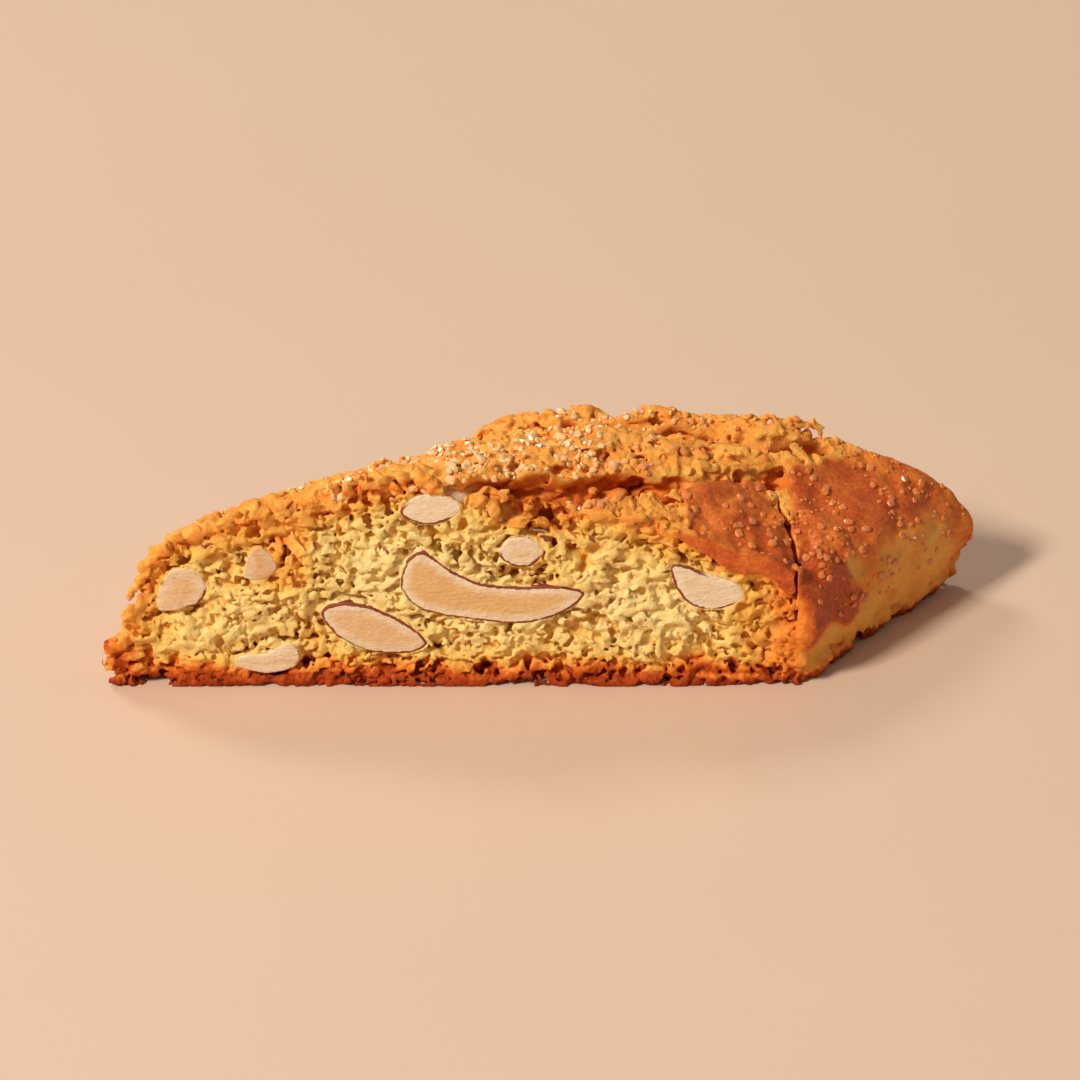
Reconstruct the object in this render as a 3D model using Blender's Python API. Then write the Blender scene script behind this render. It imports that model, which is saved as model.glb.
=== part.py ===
"""An almond biscotto: one slanting slice of a low, domed, twice-baked log.

The slice stands on the log's flat underside. X runs along the slice, Y from the front cut face to the back
one, and Z up. Every almond that the two cuts opened is its own solid, seated in a pocket of the biscuit.
"""

import math

import bmesh
import bpy
from mathutils import Vector, noise

MM = 0.001

# Driving dimensions
THICKNESS = 24.0 * MM  # between the two cut faces
SLANT = math.tan(math.radians(37.0))  # sideways run of the log for each unit of depth
SECTIONS = 17  # sections of the log between the cut faces, both faces included
OUTLINE_STEPS = 5  # points along each span of a section
POCKET_GAP = 0.3 * MM  # free space round each almond
ALMOND_RINGS = 4
ALMOND_TAPER = math.radians(80.0)  # how far round its egg shape an almond's last ring lies
ALMOND_STEPS = 2  # points along each span of an almond's outline
GROOVE_WIDTH = 2.4 * MM  # from a crack's line to its lip

# The log's section at each cut face: (along, up) in millimetres, clockwise from the left end of its foot.
# Both have the same number of points, and the sections between blend from one to the other.
FRONT_SECTION = [
    (3.0, 0.0), (0.6, 1.4), (0.0, 4.2), (2.0, 7.0), (3.1, 12.0), (4.4, 16.6), (8.6, 20.6), (14.5, 22.7),
    (21.5, 25.3), (28.0, 27.7), (34.5, 28.8), (41.0, 28.7), (47.5, 27.7), (54.0, 26.0), (60.5, 24.8),
    (66.5, 23.2), (71.5, 20.8), (77.0, 18.3), (82.5, 16.4), (85.6, 13.4), (85.9, 8.6), (85.0, 4.0),
    (85.2, 1.2), (83.6, 0.0), (80.0, 0.0), (66.0, 0.0), (44.0, 0.0), (20.0, 0.0), (6.6, 0.0),
]
BACK_SECTION = [
    (3.4, 0.0), (1.2, 1.6), (0.8, 4.4), (2.4, 7.4), (4.2, 10.6), (6.8, 13.4), (10.4, 15.4), (15.4, 17.0),
    (21.0, 18.4), (26.0, 19.9), (30.0, 22.9), (35.5, 24.4), (43.0, 24.6), (51.5, 24.0), (60.0, 23.6),
    (67.5, 23.0), (73.0, 19.6), (78.5, 17.4), (83.2, 15.0), (86.8, 11.2), (88.0, 8.2), (86.6, 3.6),
    (85.4, 1.2), (83.8, 0.0), (80.0, 0.0), (66.0, 0.0), (44.0, 0.0), (20.0, 0.0), (6.8, 0.0),
]

# Cracks in the top crust: (along the section, depth) in millimetres, then the groove's depth.
CRACKS = [
    ([(50.0, 0.5), (55.0, 3.2), (60.0, 5.2), (63.5, 7.8), (66.0, 12.0), (69.5, 15.2)], 2.2 * MM),
    ([(69.5, 15.2), (74.7, 10.2), (80.0, 5.4), (84.5, -0.5)], 0.7 * MM),
    ([(46.0, 20.6), (52.0, 20.8), (57.0, 20.8), (62.5, 19.0), (67.5, 18.2), (71.0, 21.5)], 1.3 * MM),
]

# Front almonds: name, depth in millimetres, and the outline that the cut shows.
FRONT_ALMONDS = {
    "almond_left_end": (5.5, [(6.5, 10.4), (6.4, 13.4), (8.1, 16.3), (10.8, 16.3), (12.3, 13.9), (11.2, 11.4)]),
    "almond_chip": (3.2, [(16.7, 15.4), (17.4, 18.3), (18.5, 19.6), (20.4, 18.2), (20.8, 16.2), (18.7, 14.8)]),
    "almond_low": (5.0, [(15.0, 2.9), (16.6, 4.3), (19.4, 4.5), (22.0, 6.1), (23.3, 5.0), (22.9, 2.7), (19.4, 1.7)]),
    "almond_leaf": (
        7.5,
        [(25.8, 10.4), (28.6, 11.8), (32.6, 11.0), (36.6, 8.7), (39.2, 5.9), (36.6, 4.5), (32.0, 4.7), (28.0, 6.9)],
    ),
    "almond_bone": (
        8.5,
        [(35.6, 13.8), (36.4, 17.7), (38.6, 19.0), (41.2, 16.8), (45.4, 14.5), (50.8, 13.9), (55.6, 14.1),
         (58.4, 13.0), (55.4, 10.2), (50.6, 8.7), (44.4, 9.3), (38.2, 10.6)],
    ),
    "almond_top": (5.5, [(35.6, 24.2), (37.0, 26.2), (40.0, 27.0), (43.2, 25.6), (41.9, 23.4), (38.6, 22.6)]),
    "almond_small": (4.5, [(47.6, 18.3), (48.8, 20.7), (51.4, 20.8), (53.1, 19.0), (51.6, 16.7), (49.2, 17.0)]),
    "almond_wedge": (
        6.0,
        [(68.2, 16.8), (69.6, 17.2), (73.0, 15.7), (76.6, 14.4), (77.2, 12.3), (74.4, 10.7), (71.0, 11.2), (69.2, 13.6)],
    ),
}

# Back almonds: name, depth, centre (along, up), length, width, all in millimetres, and turn in degrees.
BACK_ALMONDS = {
    "almond_back_1": (5.0, (14.0, 8.6), 11.0, 6.4, 28.0),
    "almond_back_2": (7.0, (29.5, 12.6), 18.0, 7.2, -16.0),
    "almond_back_3": (5.0, (40.0, 5.2), 12.0, 5.0, 8.0),
    "almond_back_4": (6.5, (50.5, 16.0), 15.0, 7.4, 24.0),
    "almond_back_5": (5.5, (62.5, 7.6), 13.5, 6.2, -34.0),
    "almond_back_6": (5.0, (74.0, 12.2), 10.0, 6.6, 12.0),
}

CRUST_COLOUR = (0.56, 0.22, 0.06, 1.0)
ALMOND_COLOUR = (0.78, 0.62, 0.40, 1.0)


def smooth_loop(points, steps):
    """Points along a closed Catmull-Rom curve through points, with steps for each span."""
    count = len(points)
    loop = []
    for i in range(count):
        before, start, end, after = (Vector(points[(i + k) % count]) for k in (-1, 0, 1, 2))
        for k in range(steps):
            t = k / steps
            loop.append(
                0.5
                * (
                    2 * start
                    + (end - before) * t
                    + (2 * before - 5 * start + 4 * end - after) * t * t
                    + (3 * start - before - 3 * end + after) * t * t * t
                )
            )
    return loop


def eased(t):
    """0 to 1, level at both ends."""
    t = min(max(t, 0.0), 1.0)
    return t * t * (3 - 2 * t)


def distance_to_line(point, line):
    """Shortest distance from a point to a line of straight stretches."""
    best = math.inf
    for start, end in zip(line, line[1:]):
        start = Vector(start)
        run = Vector(end) - start
        share = min(max((point - start).dot(run) / run.length_squared, 0.0), 1.0)
        best = min(best, (point - start - run * share).length)
    return best


def crust_relief(along, depth, height):
    """How far the crust stands proud of the plain section: cracks, and the gentle unevenness of baked dough."""
    place = Vector((along, depth)) / MM
    waves = noise.noise(Vector((place.x * 0.11, place.y * 0.16, height / MM * 0.11)))
    relief = 0.7 * MM * waves
    for line, groove in CRACKS:
        away = distance_to_line(place, line) * MM
        relief -= groove * (1 - eased(away / GROOVE_WIDTH))
    top = eased((height - 9 * MM) / (6 * MM))
    return relief * top


def log_section(depth):
    """One section of the log as (x, y, z) points, in metres, in the slice's own frame."""
    share = eased(depth / THICKNESS)
    blended = [
        Vector(front).lerp(Vector(back), share) * MM for front, back in zip(FRONT_SECTION, BACK_SECTION)
    ]
    loop = smooth_loop(blended, OUTLINE_STEPS)
    section = []
    for point, outward in zip(loop, outward_of(loop)):
        moved = point + outward * crust_relief(point.x, depth, point.y)
        section.append(Vector((moved.x + depth * SLANT, depth, max(moved.y, 0.0))))
    return section


def shell_of_rings(name, rings):
    """A closed mesh object through rings of points, with both end rings filled."""
    mesh = bmesh.new()
    loops = [[mesh.verts.new(point) for point in ring] for ring in rings]
    for near, far in zip(loops, loops[1:]):
        for i in range(len(near)):
            after = (i + 1) % len(near)
            mesh.faces.new((near[i], near[after], far[after], far[i]))
    mesh.faces.new(loops[0])
    mesh.faces.new(loops[-1])
    bmesh.ops.triangulate(mesh, faces=mesh.faces[:])
    bmesh.ops.recalc_face_normals(mesh, faces=mesh.faces[:])
    data = bpy.data.meshes.new(name)
    mesh.to_mesh(data)
    mesh.free()
    made = bpy.data.objects.new(name, data)
    bpy.context.scene.collection.objects.link(made)
    return made


def teardrop(centre, length, width, turn):
    """The outline of a sliced almond, pointed at one end: (along, up) points in millimetres."""
    cosine, sine = math.cos(math.radians(turn)), math.sin(math.radians(turn))
    outline = []
    for i in range(10):
        angle = -2 * math.pi * i / 10
        along = length / 2 * math.cos(angle)
        up = width / 2 * math.sin(angle) * (1 - 0.3 * math.cos(angle))
        outline.append((centre[0] + along * cosine - up * sine, centre[1] + along * sine + up * cosine))
    return outline


def outward_of(loop):
    """The outward direction at each point of a clockwise loop."""
    turned = [loop[(i + 1) % len(loop)] - loop[i - 1] for i in range(len(loop))]
    return [Vector((-run.y, run.x)).normalized() for run in turned]


def almond_rings(outline, depth, from_back, grow=0.0, proud=0.0):
    """Rings of an almond, from the cut face into the biscuit, along the log's run and tapering like an egg."""
    loop = [point * MM for point in smooth_loop(outline, ALMOND_STEPS)]
    outward = outward_of(loop)
    middle = sum(loop, Vector((0.0, 0.0))) / len(loop)
    face = THICKNESS if from_back else 0.0
    inward = -1.0 if from_back else 1.0
    reach = depth * MM + grow
    turns = [ALMOND_TAPER * k / ALMOND_RINGS for k in range(ALMOND_RINGS + 1)]
    levels = [(reach * math.sin(turn), math.cos(turn)) for turn in turns]
    if proud:
        levels.insert(0, (-proud, 1.0))
    rings = []
    for into, share in levels:
        y = face + inward * into
        ring = []
        for point, out in zip(loop, outward):
            x, z = middle + (point - middle) * share + out * grow
            ring.append(Vector((x + y * SLANT, y, z)))
        rings.append(ring)
    return rings


def all_almonds():
    """(name, outline, depth, whether it lies in the back face) of every almond."""
    for name, (depth, outline) in FRONT_ALMONDS.items():
        yield name, outline, depth, False
    for name, (depth, centre, length, width, turn) in BACK_ALMONDS.items():
        yield name, teardrop(centre, length, width, turn), depth, True


def finish(name, colour, roughness):
    """A plain material."""
    material = bpy.data.materials.new(name)
    material.use_nodes = True
    shader = material.node_tree.nodes["Principled BSDF"]
    shader.inputs["Base Color"].default_value = colour
    shader.inputs["Roughness"].default_value = roughness
    shader.inputs["Metallic"].default_value = 0.0
    return material


def make_biscuit(crust):
    """The log's slice, with a pocket for each almond."""
    depths = [THICKNESS * i / (SECTIONS - 1) for i in range(SECTIONS)]
    biscuit = shell_of_rings("biscuit", [log_section(depth) for depth in depths])
    biscuit.data.materials.append(crust)
    for name, outline, depth, from_back in all_almonds():
        rings = almond_rings(outline, depth, from_back, grow=POCKET_GAP, proud=1.5 * MM)
        pocket = shell_of_rings("pocket_for_" + name, rings)
        pocket.hide_render = True
        pocket.display_type = "WIRE"
        cut = biscuit.modifiers.new(pocket.name, "BOOLEAN")
        cut.operation = "DIFFERENCE"
        cut.solver = "EXACT"
        cut.object = pocket
    return biscuit


def make_almonds(kernel):
    """Every almond, flush with the cut that opened it."""
    almonds = []
    for name, outline, depth, from_back in all_almonds():
        almond = shell_of_rings(name, almond_rings(outline, depth, from_back))
        almond.data.materials.append(kernel)
        almond.data.shade_smooth()
        almond.data.set_sharp_from_angle(angle=math.radians(50))
        almonds.append(almond)
    return almonds


def main():
    for old in list(bpy.data.objects):
        bpy.data.objects.remove(old)
    biscuit = make_biscuit(finish("crust", CRUST_COLOUR, 0.75))
    biscuit.data.shade_smooth()
    biscuit.data.set_sharp_from_angle(angle=math.radians(50))
    make_almonds(finish("almond", ALMOND_COLOUR, 0.5))

    # The origin is the middle of the slice's box, at its foot.
    alongs = [corner[0] for corner in biscuit.bound_box]
    middle = bpy.data.objects.new("slice_middle", None)
    bpy.context.scene.collection.objects.link(middle)
    for part in [o for o in bpy.context.scene.objects if o.type == "MESH"]:
        part.parent = middle
    middle.location = (-(min(alongs) + max(alongs)) / 2, -THICKNESS / 2, 0.0)


main()
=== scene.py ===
# %% [markdown]
# # Almond biscotto
#
# A biscotto is a slice of a low loaf that has been baked twice. Three things make it look like food and not
# like a stone: the crumb, which is a sponge of torn bubbles; the crust, which browned, cracked and flaked;
# and the almonds, which the knife opened when it went through the loaf.
#
# The frame gives the plain solids. This script makes the fine surface round them, piece by piece.

# %% Load the frame
import math

import bmesh
import bpy
import numpy as np
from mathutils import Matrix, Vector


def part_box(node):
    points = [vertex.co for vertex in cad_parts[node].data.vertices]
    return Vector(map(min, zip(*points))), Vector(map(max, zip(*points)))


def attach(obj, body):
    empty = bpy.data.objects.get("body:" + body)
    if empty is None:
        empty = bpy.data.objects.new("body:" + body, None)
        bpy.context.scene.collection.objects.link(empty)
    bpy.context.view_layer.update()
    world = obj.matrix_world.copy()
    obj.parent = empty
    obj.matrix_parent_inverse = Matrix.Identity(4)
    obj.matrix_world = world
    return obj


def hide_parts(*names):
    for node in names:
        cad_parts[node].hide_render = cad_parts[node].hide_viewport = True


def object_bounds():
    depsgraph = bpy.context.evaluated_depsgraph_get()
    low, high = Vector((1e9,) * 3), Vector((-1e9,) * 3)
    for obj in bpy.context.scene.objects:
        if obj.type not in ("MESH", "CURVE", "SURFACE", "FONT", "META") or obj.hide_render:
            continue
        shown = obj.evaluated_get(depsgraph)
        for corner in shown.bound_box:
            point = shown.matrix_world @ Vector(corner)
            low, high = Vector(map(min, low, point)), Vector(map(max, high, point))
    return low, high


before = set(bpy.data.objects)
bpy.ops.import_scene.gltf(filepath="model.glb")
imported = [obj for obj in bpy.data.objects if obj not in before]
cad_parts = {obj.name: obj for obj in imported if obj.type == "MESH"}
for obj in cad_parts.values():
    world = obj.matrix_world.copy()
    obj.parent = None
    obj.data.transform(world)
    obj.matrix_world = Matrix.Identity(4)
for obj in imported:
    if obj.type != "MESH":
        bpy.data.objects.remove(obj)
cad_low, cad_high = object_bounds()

import openvdb as vdb
from mathutils import Matrix, Vector
from mathutils.bvhtree import BVHTree

MM = 0.001
BODY = "root"
print("frame:", len(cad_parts), "nodes, box in mm:", [round(v / MM, 1) for v in (*cad_low, *cad_high)])

# %% [markdown]
# ## Working in a volume
#
# Crumb can't be made by pushing a surface in and out, because its holes run under each other. It could be
# sculpted by hand, or cut with thousands of Booleans, but both are slow. Here the biscuit is a *distance
# field*: a block of small cells, each holding how far it is from the surface, negative inside. Adding noise
# to the field roughens the surface, taking the larger of two fields cuts one shape out of another, and at the
# end the zero level is turned into a mesh that is always closed.

# %% The block of cells
CELL = 0.18  # mm
MARGIN = 1.4  # mm of empty cells round the frame's box

block_low = np.array(cad_low) / MM - MARGIN
block_high = np.array(cad_high) / MM + MARGIN
cells = tuple(int(n) for n in np.ceil((block_high - block_low) / CELL))


def object_with(name, data):
    """A new object in the scene that holds a mesh, a lamp or a camera."""
    made = bpy.data.objects.new(name, data)
    bpy.context.scene.collection.objects.link(made)
    return made


def read_vectors(items, kind):
    """One vector for each vertex or face of a mesh, such as its place or its normal, as rows."""
    values = np.empty(len(items) * 3, np.float32)
    items.foreach_get(kind, values)
    return values.reshape(-1, 3)


def cell_places(axis):
    """Where the cells lie along one axis, in mm, shaped so that it combines with the other two axes."""
    shape = [1, 1, 1]
    shape[axis] = cells[axis]
    return (block_low[axis] + CELL * np.arange(cells[axis])).astype(np.float32).reshape(shape)


x, y, z = (cell_places(axis) for axis in range(3))
print("block:", cells, "cells, or", round(np.prod(cells) / 1e6, 1), "million")


# %% Turning a frame node into a distance field
def mesh_arrays(mesh):
    """A mesh's points in mm, and the corners of its triangles."""
    mesh.calc_loop_triangles()
    triangles = np.empty(len(mesh.loop_triangles) * 3, np.int32)
    mesh.loop_triangles.foreach_get("vertices", triangles)
    return read_vectors(mesh.vertices, "co") / MM, triangles.reshape(-1, 3).astype(np.uint32)


def distance_to_node(name, reach, low, shape, cell):
    """Distance to a frame node at each cell of a block, in mm, negative inside, and level beyond reach."""
    points, triangles = mesh_arrays(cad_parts[name].data)
    grid = vdb.FloatGrid.createLevelSetFromPolygons(
        ((points - low) / cell).astype(np.float32),
        triangles=triangles,
        transform=vdb.createLinearTransform(1.0),
        halfWidth=reach / cell,
    )
    field = np.empty(shape, np.float32)
    grid.copyToArray(field)
    return field * cell


REACH = 3.0  # mm
solid = distance_to_node("biscuit", REACH, block_low, cells, CELL)
print("biscuit in the frame:", round((solid < 0).sum() * CELL**3 / 1000, 1), "cm3")


# %% [markdown]
# ## Noise and smoothing for volumes
#
# Blender's noise function works one point at a time, which is too slow for millions of cells. A cloud of
# noise can be made for all cells at once: random numbers on a coarse lattice, spread smoothly over the fine
# one. The lattice's spacing sets the size of the lumps.

# %% Noise, and a quick blur
NOISE_SPREAD = 0.45  # standard deviation, so that most values lie from -1 to 1


def spread_along(field, axis, count, step):
    """Smooths lattice values out to count cells along one axis, with the weights of a quadratic spline."""
    place = np.arange(count) * step + 0.5
    first = place.astype(int)
    t = (place - first).astype(np.float32)
    shape = [1, 1, 1]
    shape[axis] = count
    weights = [(1 - t) ** 2 / 2, 0.5 + t - t * t, t * t / 2]
    return sum(
        np.take(field, first + k, axis=axis) * weight.reshape(shape) for k, weight in enumerate(weights)
    )


def cloud(spacing, seed, shape=cells, cell=CELL):
    """Noise over the block, mostly from -1 to 1, in lumps about as far apart as spacing says."""
    lattice = [int(n * cell / gap) + 4 for n, gap in zip(shape, spacing)]
    field = np.random.default_rng(seed).uniform(-1, 1, lattice).astype(np.float32)
    for axis in (1, 2, 0):
        field = spread_along(field, axis, shape[axis], cell / spacing[axis])
    return field * np.float32(NOISE_SPREAD / field.std())


def blurred(field, steps):
    """The field averaged with its neighbours, once for each step, which says how many cells away they are."""
    for step in steps:
        for axis in range(3):
            place = np.arange(field.shape[axis])
            ahead = np.take(field, np.minimum(place + step, field.shape[axis] - 1), axis)
            behind = np.take(field, np.maximum(place - step, 0), axis)
            field = field * 0.5 + (ahead + behind) * 0.25
    return field


def smoothstep(low, high, value):
    """0 below low, 1 above high, and a gentle curve between."""
    t = np.clip((value - low) / (high - low), 0, 1)
    return t * t * (3 - 2 * t)


# %% [markdown]
# ## Almonds first
#
# Each almond is a frame node of its own, and the biscuit has a pocket for it. The pockets are found again
# from the almonds, so that crumb hugs them closely. An almond's field is carried on past the cut, so that it
# can be trimmed with a crisp edge later, and so that no crumb is left hanging in front of it.

# %% The almonds' fields in the biscuit's block
FACE = cad_high.y / MM  # how far each cut lies from the middle
CUT_INSET = 0.5  # mm: where an almond's outline is read, just behind the cut
SLANT = math.tan(math.radians(37.0))  # sideways run of the loaf for each mm of depth
ALMOND_REACH = 1.6  # mm

almond_names = [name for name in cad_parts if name.startswith("almond")]


def lies_in_front(name):
    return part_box(name)[0].y < 0


def carried_past_cut(field, low, cell, front):
    """An almond's field with its sides carried straight on past the cut that opened it."""
    depths = low[1] + cell * np.arange(field.shape[1])
    source = np.maximum(depths, CUT_INSET - FACE) if front else np.minimum(depths, FACE - CUT_INSET)
    return np.take(field, np.round((source - low[1]) / cell).astype(int), axis=1)


almonds = np.full(cells, ALMOND_REACH, np.float32)
for name in almond_names:
    one = distance_to_node(name, ALMOND_REACH, block_low, cells, CELL)
    almonds = np.minimum(almonds, carried_past_cut(one, block_low, CELL, lies_in_front(name)))
almonds = blurred(almonds, (1,))
almond_volume = (almonds < 0).sum() * CELL**3 / 1000
print(len(almond_names), "almonds fill", round(almond_volume, 2), "cm3, past the cuts too")

# %% [markdown]
# ## The loaf without its facets
#
# The frame's biscuit is made of flat triangles. Filling its pockets and blurring the field gives back the
# smooth loaf that the slice was cut from, with the knife's edges just rounded.

# %% Fill the pockets and smooth the facets
POCKET_FILL = 0.45  # mm, a little more than the frame's gap round each almond
filled = np.maximum(almonds - POCKET_FILL, np.abs(y) - FACE)
loaf = blurred(np.minimum(solid, filled), (1, 2, 2))
del solid, filled
print("loaf with its pockets filled:", round((loaf < 0).sum() * CELL**3 / 1000, 1), "cm3")

# %% [markdown]
# ## How deep below the crust?
#
# Browning, the size of the bubbles and the colour all depend on one thing: how far a spot is from the loaf's
# baked outside. It is measured from the frame's crust faces, on a coarse lattice, then spread over the block.

# %% Distance from the crust
CRUST_LATTICE = 1.0  # mm


def sample(field, points, low=block_low, cell=CELL):
    """The field's value at each point, blended from the eight cells round it."""
    place = np.clip((points - low) / cell, 0, np.array(field.shape) - 1.001)
    first = place.astype(int)
    t = place - first
    total = np.zeros(len(points))
    for corner in range(8):
        step = np.array([corner & 1, corner >> 1 & 1, corner >> 2 & 1])
        weight = np.prod(np.where(step, t, 1 - t), axis=1)
        total += weight * field[tuple((first + step).T)]
    return total


def crust_faces():
    """The frame's faces that were on the loaf's outside: not the cuts, and not the almonds' pockets."""
    points, triangles = mesh_arrays(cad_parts["biscuit"].data)
    corners = points[triangles]
    normals = np.cross(corners[:, 1] - corners[:, 0], corners[:, 2] - corners[:, 0])
    normals /= np.maximum(np.linalg.norm(normals, axis=1), 1e-9)[:, None]
    middles = corners.mean(axis=1)
    cut = (np.abs(normals[:, 1]) > 0.95) & (np.abs(np.abs(middles[:, 1]) - FACE) < 0.05)
    pocket = sample(almonds, middles) < 0.5
    return BVHTree.FromPolygons(points.tolist(), triangles[~cut & ~pocket].tolist())


def measured_on_lattice(tree):
    """Distance to the crust on a coarse lattice over the block."""
    shape = [int(n * CELL / CRUST_LATTICE) + 4 for n in cells]
    field = np.empty(shape, np.float32)
    for place in np.ndindex(*shape):
        point = block_low + CRUST_LATTICE * (np.array(place) - 1)
        field[place] = tree.find_nearest(point.tolist())[3]
    return field


below_crust = measured_on_lattice(crust_faces())
for axis in (1, 2, 0):
    below_crust = spread_along(below_crust, axis, cells[axis], CELL / CRUST_LATTICE)
print("deepest crumb is", round(float(below_crust[loaf < 0].max()), 1), "mm below the crust")

# %% [markdown]
# ## A map of the crust
#
# The crust is not the same all over. One long fissure opened where the loaf rose fastest, thin cracks ran off
# it, and between them lie smooth plates with a shine. To place these, the crust gets a map with two
# coordinates: *along* runs down the slice, following the loaf's slant, and *over* runs from the front cut to
# the back one. A line or an outline drawn on that map is laid on the loaf from above.

# %% Along and over, and shapes drawn with them
LEFT_END = cad_low.x / MM


def along_at(across, depth):
    """How far down the slice a spot lies, in mm, when the loaf's slant is taken out."""
    return across - LEFT_END - (depth + FACE) * SLANT


def distance_to_line(line, along, over):
    """Distance in mm from a line drawn through (along, over) points."""
    best = np.float32(99.0)
    for start, end in zip(line, line[1:]):
        run = np.array(end, np.float32) - np.array(start, np.float32)
        share = ((along - start[0]) * run[0] + (over - start[1]) * run[1]) / (run @ run)
        share = np.clip(share, 0, 1)
        away = np.hypot(along - start[0] - share * run[0], over - start[1] - share * run[1])
        best = np.minimum(best, away)
    return best


def inside_outline(outline, along, over):
    """Distance in mm from an outline's edge, positive inside it."""
    closed = [*outline, outline[0]]
    crossings = np.zeros(np.broadcast(along, over).shape, int)
    for (a0, o0), (a1, o1) in zip(closed, closed[1:]):
        if o0 != o1:
            meets = a0 + (over - o0) * ((a1 - a0) / (o1 - o0))
            crossings += ((o0 > over) != (o1 > over)) & (along < meets)
    return distance_to_line(closed, along, over) * np.where(crossings % 2, 1, -1)


FISSURE = [
    (42.0, 0.8), (44.7, 2.6), (51.5, 5.0), (56.1, 8.2), (60.8, 8.8), (64.3, 9.2), (66.2, 12.6),
    (69.6, 15.9), (70.8, 14.9), (67.0, 11.2), (65.4, 8.0), (64.8, 6.1), (61.4, 3.6), (57.0, 1.2),
    (50.0, -3.0), (43.0, -3.0),
]
FRONT_PLATE = [
    (64.8, 6.3), (64.9, 8.8), (66.8, 11.4), (69.8, 14.0), (74.5, 9.8), (79.8, 5.0), (84.0, -0.6),
    (84.0, -3.0), (73.3, -3.0), (72.6, 0.0), (69.8, 1.7),
]
END_PLATE = [
    (72.0, 15.6), (77.0, 8.6), (82.0, 4.0), (85.2, -3.0), (99.0, -3.0), (99.0, 27.0), (76.5, 27.0),
    (73.5, 20.0),
]
HAIR_CRACK = [(70.4, 14.8), (71.6, 13.2), (74.5, 10.3), (77.4, 7.9), (80.0, 5.4), (82.5, 2.6), (84.8, -1.0)]
BACK_CRACKS = [
    [(37.5, 19.0), (40.4, 20.6), (42.0, 19.2)],
    [(46.0, 20.6), (52.0, 20.9), (54.8, 20.2), (57.6, 21.0), (60.0, 19.4), (63.0, 18.6)],
    [(62.5, 19.6), (67.4, 17.6), (68.4, 20.2), (71.5, 21.4)],
]
over = y + FACE
along = along_at(x, y)
print("map of the crust: along from", round(float(along.min())), "to", round(float(along.max())), "mm")

# %% [markdown]
# ## The lip of the front plate
#
# Where the front plate reached the knife, a tongue of it bent down over the cut. It is a thin slab, and it is
# joined to the loaf with a *smooth minimum*, which fills the corner between two shapes like putty.

# %% Add the tongue to the loaf
PLATE_TONGUE = [
    (69.4, 21.8), (71.2, 20.0), (73.0, 19.0), (74.4, 17.6), (76.0, 16.4), (77.6, 15.8), (79.6, 16.1),
    (81.6, 15.3), (83.8, 14.8), (84.8, 15.8), (82.5, 16.8), (77.0, 18.8), (71.5, 21.4),
]  # across and up on the front cut, in mm


def smooth_minimum(first, second, width):
    share = np.clip(0.5 + 0.5 * (second - first) / width, 0, 1)
    return second * (1 - share) + first * share - width * share * (1 - share)


waves = cloud((2.8, 2.8, 2.2), 3)
tongue_edge = inside_outline(PLATE_TONGUE, x - LEFT_END, z) + 0.35 * waves
tongue = np.maximum(-tongue_edge, np.abs(y + FACE - 0.15) - 0.65)
loaf = smooth_minimum(loaf, tongue, 0.7)
del tongue

# %% [markdown]
# ## Crust
#
# The crust dried first, then the loaf went on swelling under it. It tore into thin flakes that lie over each
# other along the loaf. Rounding noise to steps makes such layers: level patches with a small cliff between.
# The plates stayed whole, so they are smooth and stand a little proud.

# %% Flakes, plates and pimples
def layered(field, step):
    """The field in steps, each a level patch that ends in a short cliff."""
    place = field / step
    floor = np.floor(place)
    return (floor + smoothstep(0.5, 0.95, place - floor)) * step


outer = 1 - smoothstep(0.6, 1.8, below_crust)
upper = smoothstep(7.0, 11.0, z)
wobble = cloud((1.5, 1.5, 1.5), 8)
front_plate = smoothstep(-0.5, 0.6, inside_outline(FRONT_PLATE, along, over) + 0.7 * wobble) * upper
end_plate = smoothstep(-0.6, 0.9, inside_outline(END_PLATE, along, over) + 0.7 * wobble)
end_plate = end_plate * smoothstep(1.5, 4.0, z)
plates = np.maximum(front_plate, end_plate) * smoothstep(2.4, 1.4, below_crust)
tongue_skin = smoothstep(-0.5, 0.2, tongue_edge + 0.4 * wobble) * smoothstep(-10.8, -11.4, y)
plates = np.maximum(plates, tongue_skin)
knobs = cloud((0.78, 0.78, 0.7), 1)
grit = cloud((0.42, 0.42, 0.4), 2)
shreds = cloud((3.0, 1.5, 1.4), 4)
swollen_back = smoothstep(42.0, 52.0, along) * smoothstep(11.0, 18.0, over) * smoothstep(92.0, 84.0, along)
crust = 0.6 * layered(shreds, 0.4) + 0.6 * (0.35 - np.abs(knobs)) + 0.26 * grit - 0.35 - 0.7 * swollen_back
calm = 0.36 * waves + 0.3 * cloud((1.6, 1.4, 1.4), 6) + 0.16 * knobs - 0.4 - 0.5 * swollen_back
body = loaf + (crust * (1 - plates) + calm * plates) * outer
print("crust relief added")

# %% [markdown]
# ## Fissure and cracks
#
# In the fissure the crust opened and the crumb beneath it shows. Its walls lean outwards as they go down, so
# the lips overhang. A trench with that shape is cut out of the field.


# %% Cut the fissure and the cracks
def cut_trench(edge, deepest, undercut):
    """Cuts a trench where edge, a distance in mm that is positive inside, allows it."""
    trench = np.minimum(edge + undercut * below_crust, deepest - below_crust)
    np.maximum(body, np.where(upper > 0.5, trench, -9.0), out=body)


boulders = np.abs(cloud((1.9, 1.6, 1.4), 7))
fissure_edge = inside_outline(FISSURE, along, over) + 0.6 * wobble
cut_trench(fissure_edge, 3.3 - 2.4 * boulders, 0.6)
for line in BACK_CRACKS:
    cut_trench(0.6 + 0.9 * wobble - distance_to_line(line, along, over), 1.7 - 1.0 * boulders, 0.15)
cut_trench(0.12 + 0.14 * wobble - distance_to_line(HAIR_CRACK, along + 0.4 * wobble, over), 1.9, 0.05)
print("trenches cut")

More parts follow.
